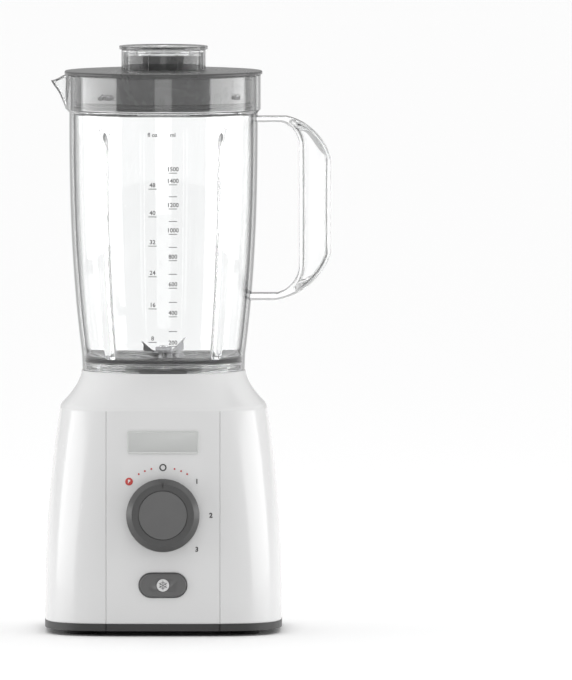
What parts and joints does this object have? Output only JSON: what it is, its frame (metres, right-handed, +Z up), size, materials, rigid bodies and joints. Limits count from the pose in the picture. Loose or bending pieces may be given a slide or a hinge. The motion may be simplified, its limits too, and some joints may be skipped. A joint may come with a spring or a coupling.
{
  "type": "countertop blender",
  "caption": "Countertop blender: white motor base with speed knob and ice button, clear jug with spout and handle, dark lid with clear filler cap, crossed blades in a removable unit.",
  "frame": {"origin": "on the drive axis at the plane the feet rest on", "axes": "+Z up along the drive axis, -Y out of the control panel, +X towards the jug's handle"},
  "size_m": [0.1997, 0.177, 0.4085],
  "materials": {
    "casing_white": "gloss",
    "base_grey": "fine texture",
    "foot_rubber": "matt",
    "seat_grey": "satin",
    "seal_rubber": "satin",
    "badge_silver": "satin",
    "mark_red": "printed",
    "bright_steel": "brushed",
    "zinc_plate": "zinc plated",
    "laminated_steel": "stacked laminations",
    "copper": "enamelled copper",
    "bush_bronze": "sintered bronze",
    "black_plastic": "satin",
    "carbon": "carbon",
    "board_green": "circuit board",
    "jug_clear": "clear",
    "lid_grey": "satin gloss",
    "holder_grey": "satin",
    "knob_grey": "satin",
    "knob_face": "spun satin",
    "icon_pale": "gloss"
  },
  "bodies": {
    "power_unit": {"outer_casing": "casing_white", "base_plate": "base_grey", "rubber_feet": "foot_rubber", "motor_dampers": "foot_rubber", "jug_seat": "seat_grey", "splash_seal": "seal_rubber", "cord_inlet_grommet": "seal_rubber", "badge_plate": "badge_silver", "dial_marks": "mark_red", "base_screws": "bright_steel", "motor_bolts": "bright_steel", "switch_nut": "bright_steel", "motor_lower_bracket": "zinc_plate", "motor_upper_bracket": "zinc_plate", "switch_carrier": "zinc_plate", "stator_core": "laminated_steel", "field_coils": "copper", "lower_bush": "bush_bronze", "upper_bush": "bush_bronze", "brush_holders": "black_plastic", "fan_shroud": "black_plastic", "rotary_switch": "black_plastic", "ice_switch": "black_plastic", "interlock_switch": "black_plastic", "terminal_block": "black_plastic", "carbon_brushes": "carbon", "control_board": "board_green"},
    "motor_rotor": {"motor_shaft": "bright_steel", "armature_core": "laminated_steel", "armature_winding": "copper", "commutator": "copper", "cooling_fan": "black_plastic", "drive_coupling": "black_plastic"},
    "jug": {"jug": "jug_clear"},
    "lid": {"lid": "lid_grey", "lid_seal": "seal_rubber"},
    "filler_cap": {"filler_cap": "jug_clear"},
    "blade_unit": {"blade_holder": "holder_grey", "blade_seal": "seal_rubber", "blade_bush": "bush_bronze", "shaft_seal": "seal_rubber"},
    "blade_rotor": {"blade_shaft": "bright_steel", "lower_blade": "bright_steel", "upper_blade": "bright_steel", "blade_nut": "bright_steel", "driven_coupling": "black_plastic"},
    "speed_knob": {"speed_knob": "knob_grey", "knob_insert": "knob_face", "switch_spindle": "bright_steel"},
    "ice_button": {"ice_button": "knob_grey", "ice_icon": "icon_pale"},
    "interlock_plunger": {"interlock_plunger": "black_plastic", "interlock_spring": "bright_steel"}
  },
  "joints": [
    {"name": "jug_lift", "type": "slide", "parent": "power_unit", "child": "jug", "axis": [0, 0, 1], "range_m": [0, 0.12]},
    {"name": "lid_lift", "type": "slide", "parent": "jug", "child": "lid", "axis": [0, 0, 1], "range_m": [0, 0.08]},
    {"name": "cap_lift", "type": "slide", "parent": "lid", "child": "filler_cap", "axis": [0, 0, 1], "range_m": [0, 0.06]},
    {"name": "blade_unit_turn", "type": "hinge", "parent": "jug", "child": "blade_unit", "pos_m": [0, 0, 0.18], "axis": [0, 0, 1], "range_deg": [0, 30]},
    {"name": "motor_spin", "type": "hinge", "parent": "power_unit", "child": "motor_rotor", "pos_m": [0, 0, 0.1], "axis": [0, 0, 1], "continuous": true},
    {"name": "blade_spin", "type": "hinge", "parent": "blade_unit", "child": "blade_rotor", "pos_m": [0, 0, 0.18], "axis": [0, 0, 1], "continuous": true},
    {"name": "knob_turn", "type": "hinge", "parent": "power_unit", "child": "speed_knob", "pos_m": [0, -0.07808, 0.084], "axis": [0, 0.9975, -0.0703], "range_deg": [-45, 135]},
    {"name": "ice_button_press", "type": "slide", "parent": "power_unit", "child": "ice_button", "axis": [0, 0.9998, -0.0209], "range_m": [0, 0.0025], "stiffness_N_per_m": 400, "springref_m": -0.003},
    {"name": "interlock_press", "type": "slide", "parent": "power_unit", "child": "interlock_plunger", "axis": [0, 0, 1], "range_m": [-0.0025, 0], "stiffness_N_per_m": 300, "springref_m": 0.004, "deforming": ["interlock_spring"]}
  ],
  "couplings": [
    {"joint": "blade_spin", "follows": "motor_spin", "ratio": 1}
  ]
}
